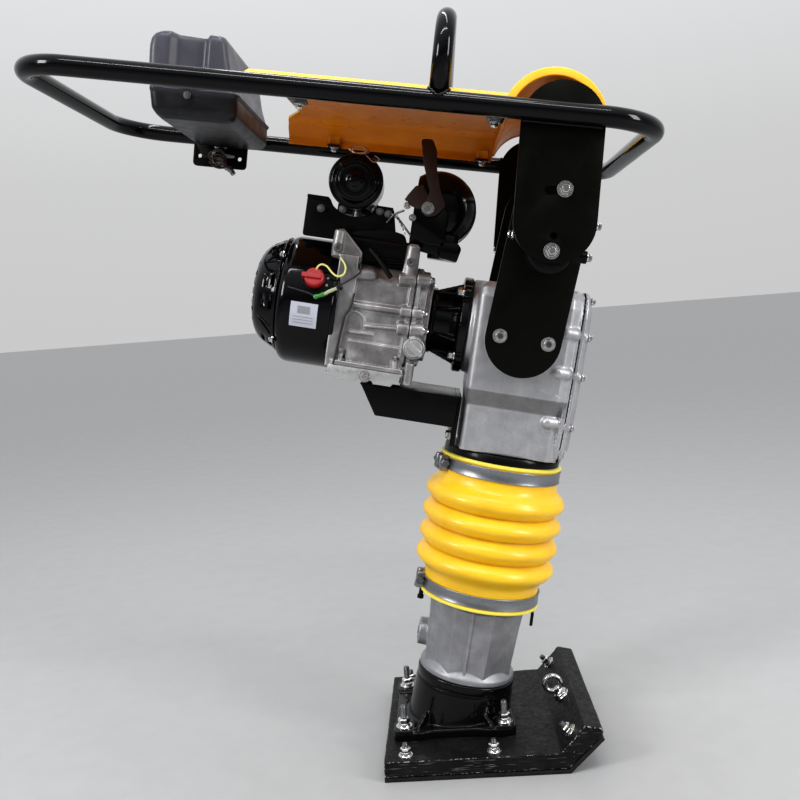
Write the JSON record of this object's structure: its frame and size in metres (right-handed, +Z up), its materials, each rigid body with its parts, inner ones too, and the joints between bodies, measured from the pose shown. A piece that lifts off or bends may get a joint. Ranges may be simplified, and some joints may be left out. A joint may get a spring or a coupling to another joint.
{
  "type": "jumping jack rammer",
  "caption": "Petrol tamping rammer: spring leg with bellows on a laminated shoe, crankcase, small engine and a tube handle ring on rubber mounts.",
  "frame": {"origin": "on the floor under the middle of the handle ring", "axes": "+Z up, +X forward towards the shoe's raised nose, +Y to the machine's left"},
  "size_m": [0.7994, 0.4434, 1.0239],
  "materials": {
    "black_paint": "gloss black enamel",
    "aluminium": "sand-cast aluminium",
    "steel": "bright or oiled steel",
    "rusty_steel": "dark brown stained steel strap",
    "black_plastic": "gloss black moulding",
    "rubber": "black rubber",
    "yellow_rubber": "yellow moulded bellows",
    "yellow_plastic": "yellow translucent moulding",
    "tank_plastic": "dark grey blow-moulded plastic",
    "red_plastic": "red switch knob",
    "shoe_laminate": "black painted laminate, scuffed edges"
  },
  "bodies": {
    "foot": {"sole_plate": "steel", "shoe_board": "shoe_laminate", "foot_casting": "black_paint", "eye_bolt": "steel", "spring_cylinder": "aluminium", "spring_cap": "steel", "lower_spring": "steel", "upper_spring": "steel", "lower_clamp": "steel"},
    "machine": {"guide_tube": "black_paint", "bellows": "yellow_rubber", "upper_clamp": "steel", "crankcase_housing": "aluminium", "crankcase_cover": "aluminium", "crank_bearing": "steel", "clutch_housing": "black_paint", "arm_plate_right": "black_paint", "arm_plate_left": "black_paint", "rubber_mount_right": "rubber", "rubber_mount_left": "rubber", "engine_block": "aluminium", "engine_side_cover": "aluminium", "engine_base": "aluminium", "engine_bracket": "black_paint", "cylinder_head": "aluminium", "spark_plug": "steel", "cylinder_shroud": "black_paint", "fan_housing": "black_plastic", "recoil_cover": "black_plastic", "starter_grip": "rubber", "air_cleaner_case": "black_plastic", "air_cleaner_cap": "black_plastic", "air_cleaner_bracket": "black_paint", "carburettor": "aluminium", "muffler": "black_paint"},
    "ram": {"ram_piston": "steel", "wrist_pin": "steel"},
    "rod": {"connecting_rod": "steel"},
    "crank": {"crank_gear": "steel"},
    "output_shaft": {"pinion_shaft": "steel", "clutch_drum": "steel"},
    "engine_shaft": {"crankshaft": "steel", "flywheel": "aluminium", "clutch_shoes": "steel"},
    "pulley": {"recoil_pulley": "black_plastic"},
    "switch": {"stop_switch": "red_plastic"},
    "oil_filler": {"oil_plug": "aluminium"},
    "choke": {"choke_lever": "steel"},
    "throttle": {"throttle_lever": "rusty_steel"},
    "handle": {"handle_ring": "black_paint", "lift_hoop": "black_paint", "handle_plate_right": "black_paint", "handle_plate_left": "black_paint", "handle_cover": "yellow_plastic", "fuel_tank": "tank_plastic", "cock_plate": "black_paint", "fuel_cock": "steel"},
    "fuel_cap": {"tank_cap": "black_plastic"},
    "cock": {"cock_lever": "steel"}
  },
  "joints": [
    {"name": "leg_stroke", "type": "slide", "parent": "foot", "child": "machine", "axis": [0.2255, 0, 0.9743], "range_m": [0, 0.06], "deforming": ["bellows"]},
    {"name": "ram_stroke", "type": "slide", "parent": "machine", "child": "ram", "axis": [0.2255, 0, 0.9743], "range_m": [0, 0.056], "deforming": ["lower_spring", "upper_spring"]},
    {"name": "rod_swing", "type": "hinge", "parent": "ram", "child": "rod", "pos_m": [0.18663, 0, 0.42776], "axis": [0.9743, 0, -0.2255], "range_deg": [-26, 26]},
    {"name": "crank_turn", "type": "hinge", "parent": "machine", "child": "crank", "pos_m": [0.20692, 0, 0.51544], "axis": [0.9743, 0, -0.2255], "continuous": true},
    {"name": "pinion_turn", "type": "hinge", "parent": "machine", "child": "output_shaft", "pos_m": [0.2227, 0, 0.58364], "axis": [0.9743, 0, -0.2255], "continuous": true},
    {"name": "engine_turn", "type": "hinge", "parent": "machine", "child": "engine_shaft", "pos_m": [0.02785, 0, 0.62873], "axis": [0.9743, 0, -0.2255], "continuous": true},
    {"name": "recoil_turn", "type": "hinge", "parent": "machine", "child": "pulley", "pos_m": [-0.11731, 0, 0.66232], "axis": [0.9743, 0, -0.2255], "continuous": true},
    {"name": "switch_turn", "type": "hinge", "parent": "machine", "child": "switch", "pos_m": [-0.05477, -0.08898, 0.682], "axis": [0.079, -0.9367, 0.3412], "range_deg": [0, 60]},
    {"name": "oil_plug_turn", "type": "hinge", "parent": "machine", "child": "oil_filler", "pos_m": [0.07035, -0.084, 0.57732], "axis": [0, -1, 0], "range_deg": [0, 180]},
    {"name": "choke_turn", "type": "hinge", "parent": "machine", "child": "choke", "pos_m": [0.02656, 0.04, 0.79172], "axis": [0.9743, 0, -0.2255], "range_deg": [-60, 15]},
    {"name": "throttle_turn", "type": "hinge", "parent": "machine", "child": "throttle", "pos_m": [0.10225, -0.044, 0.76394], "axis": [0, 1, 0], "range_deg": [-15, 25]},
    {"name": "handle_flex", "type": "hinge", "parent": "machine", "child": "handle", "pos_m": [0.25678, 0, 0.72202], "axis": [0, 1, 0], "range_deg": [-3, 3], "stiffness_Nm_per_rad": 3000, "springref_deg": 0.72},
    {"name": "fuel_cap_turn", "type": "hinge", "parent": "handle", "child": "fuel_cap", "pos_m": [-0.18561, 0.03, 1.01267], "axis": [0.1766, 0, 0.9843], "range_deg": [0, 120]},
    {"name": "fuel_cock_turn", "type": "hinge", "parent": "handle", "child": "cock", "pos_m": [-0.20946, 0.086, 0.88538], "axis": [0, 1, 0], "range_deg": [0, 90]}
  ],
  "couplings": [
    {"joint": "pinion_turn", "follows": "crank_turn", "ratio": -3.3077}
  ]
}
